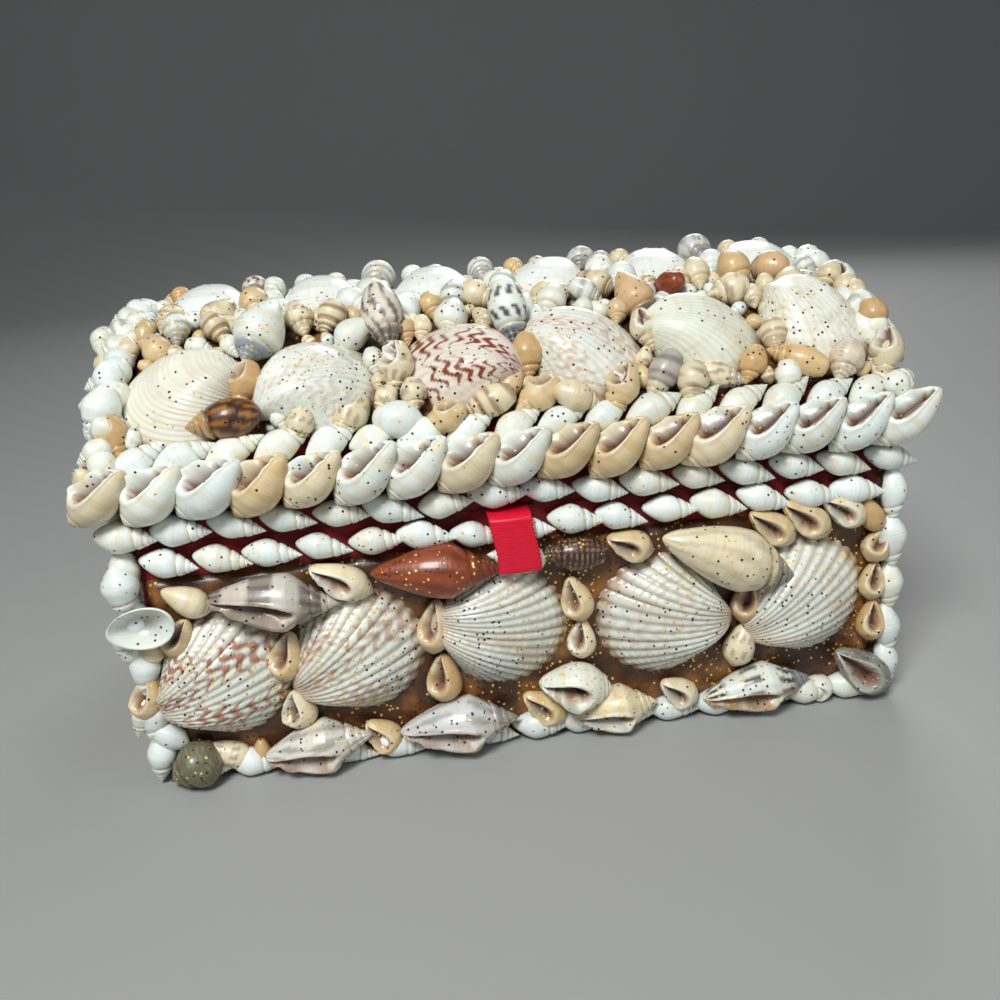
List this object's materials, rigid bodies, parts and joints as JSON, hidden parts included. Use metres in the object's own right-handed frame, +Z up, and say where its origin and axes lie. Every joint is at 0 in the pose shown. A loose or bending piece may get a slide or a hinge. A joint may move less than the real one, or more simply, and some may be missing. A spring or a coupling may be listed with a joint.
{
  "type": "shell box",
  "caption": "Trinket box with an arched lift-off lid, covered all over with glued sea shells, with a red ribbon tab in front.",
  "frame": {"origin": "centre of the case's underside, on the surface that the box stands on", "axes": "+Z up, +X along the box's length to the right as one faces it, -Y out of the front, where the ribbon tab is"},
  "size_m": [0.2066, 0.1269, 0.1161],
  "materials": {
    "red_cloth": "matt dark red cloth over board",
    "red_satin": "satin ribbon",
    "white_shell": "glossy white shell with flecks of glitter",
    "cream_shell": "glossy white to cream shell",
    "ribbed_shell": "ribbed white shell, varnished, with rust marks and glitter",
    "mixed_shell": "varnished whelks and snails, brown, grey and cream"
  },
  "bodies": {
    "root": {"back_bottom_row": "white_shell", "back_cockle_row": "ribbed_shell", "back_left_corner_column": "white_shell", "back_lower_garland": "mixed_shell", "back_mouthed_row": "cream_shell", "back_right_corner_column": "white_shell", "back_rim_row": "white_shell", "back_top_row": "white_shell", "back_upper_garland": "mixed_shell", "case": "red_cloth", "front_bottom_row": "white_shell", "front_cockle_1": "ribbed_shell", "front_cockle_2": "ribbed_shell", "front_cockle_3": "ribbed_shell", "front_cockle_4": "ribbed_shell", "front_cockle_5": "ribbed_shell", "front_left_corner_column": "white_shell", "front_lower_garland": "mixed_shell", "front_mouthed_row": "cream_shell", "front_right_corner_column": "white_shell", "front_rim_row": "white_shell", "front_top_row": "white_shell", "front_upper_garland": "mixed_shell", "left_bottom_row": "white_shell", "left_cockle_row": "ribbed_shell", "left_lower_garland": "mixed_shell", "left_mouthed_row": "cream_shell", "left_rim_row": "white_shell", "left_top_row": "white_shell", "left_upper_garland": "mixed_shell", "lid": "red_cloth", "lid_back_cockle_row": "ribbed_shell", "lid_back_edge_row": "white_shell", "lid_back_garland": "mixed_shell", "lid_front_cockle_1": "ribbed_shell", "lid_front_cockle_2": "ribbed_shell", "lid_front_cockle_3": "ribbed_shell", "lid_front_cockle_4": "ribbed_shell", "lid_front_cockle_5": "ribbed_shell", "lid_front_cockle_6": "ribbed_shell", "lid_front_edge_row": "white_shell", "lid_front_garland": "mixed_shell", "lid_left_end_row": "white_shell", "lid_left_gable_cockles": "ribbed_shell", "lid_middle_cockle_1": "ribbed_shell", "lid_middle_cockle_2": "ribbed_shell", "lid_middle_cockle_3": "ribbed_shell", "lid_middle_cockle_4": "ribbed_shell", "lid_middle_cockle_5": "ribbed_shell", "lid_middle_cockle_6": "ribbed_shell", "lid_right_end_row": "white_shell", "lid_right_gable_cockles": "ribbed_shell", "ribbon_tab": "red_satin", "right_bottom_row": "white_shell", "right_cockle_row": "ribbed_shell", "right_lower_garland": "mixed_shell", "right_mouthed_row": "cream_shell", "right_rim_row": "white_shell", "right_top_row": "white_shell", "right_upper_garland": "mixed_shell"}
  },
  "joints": []
}
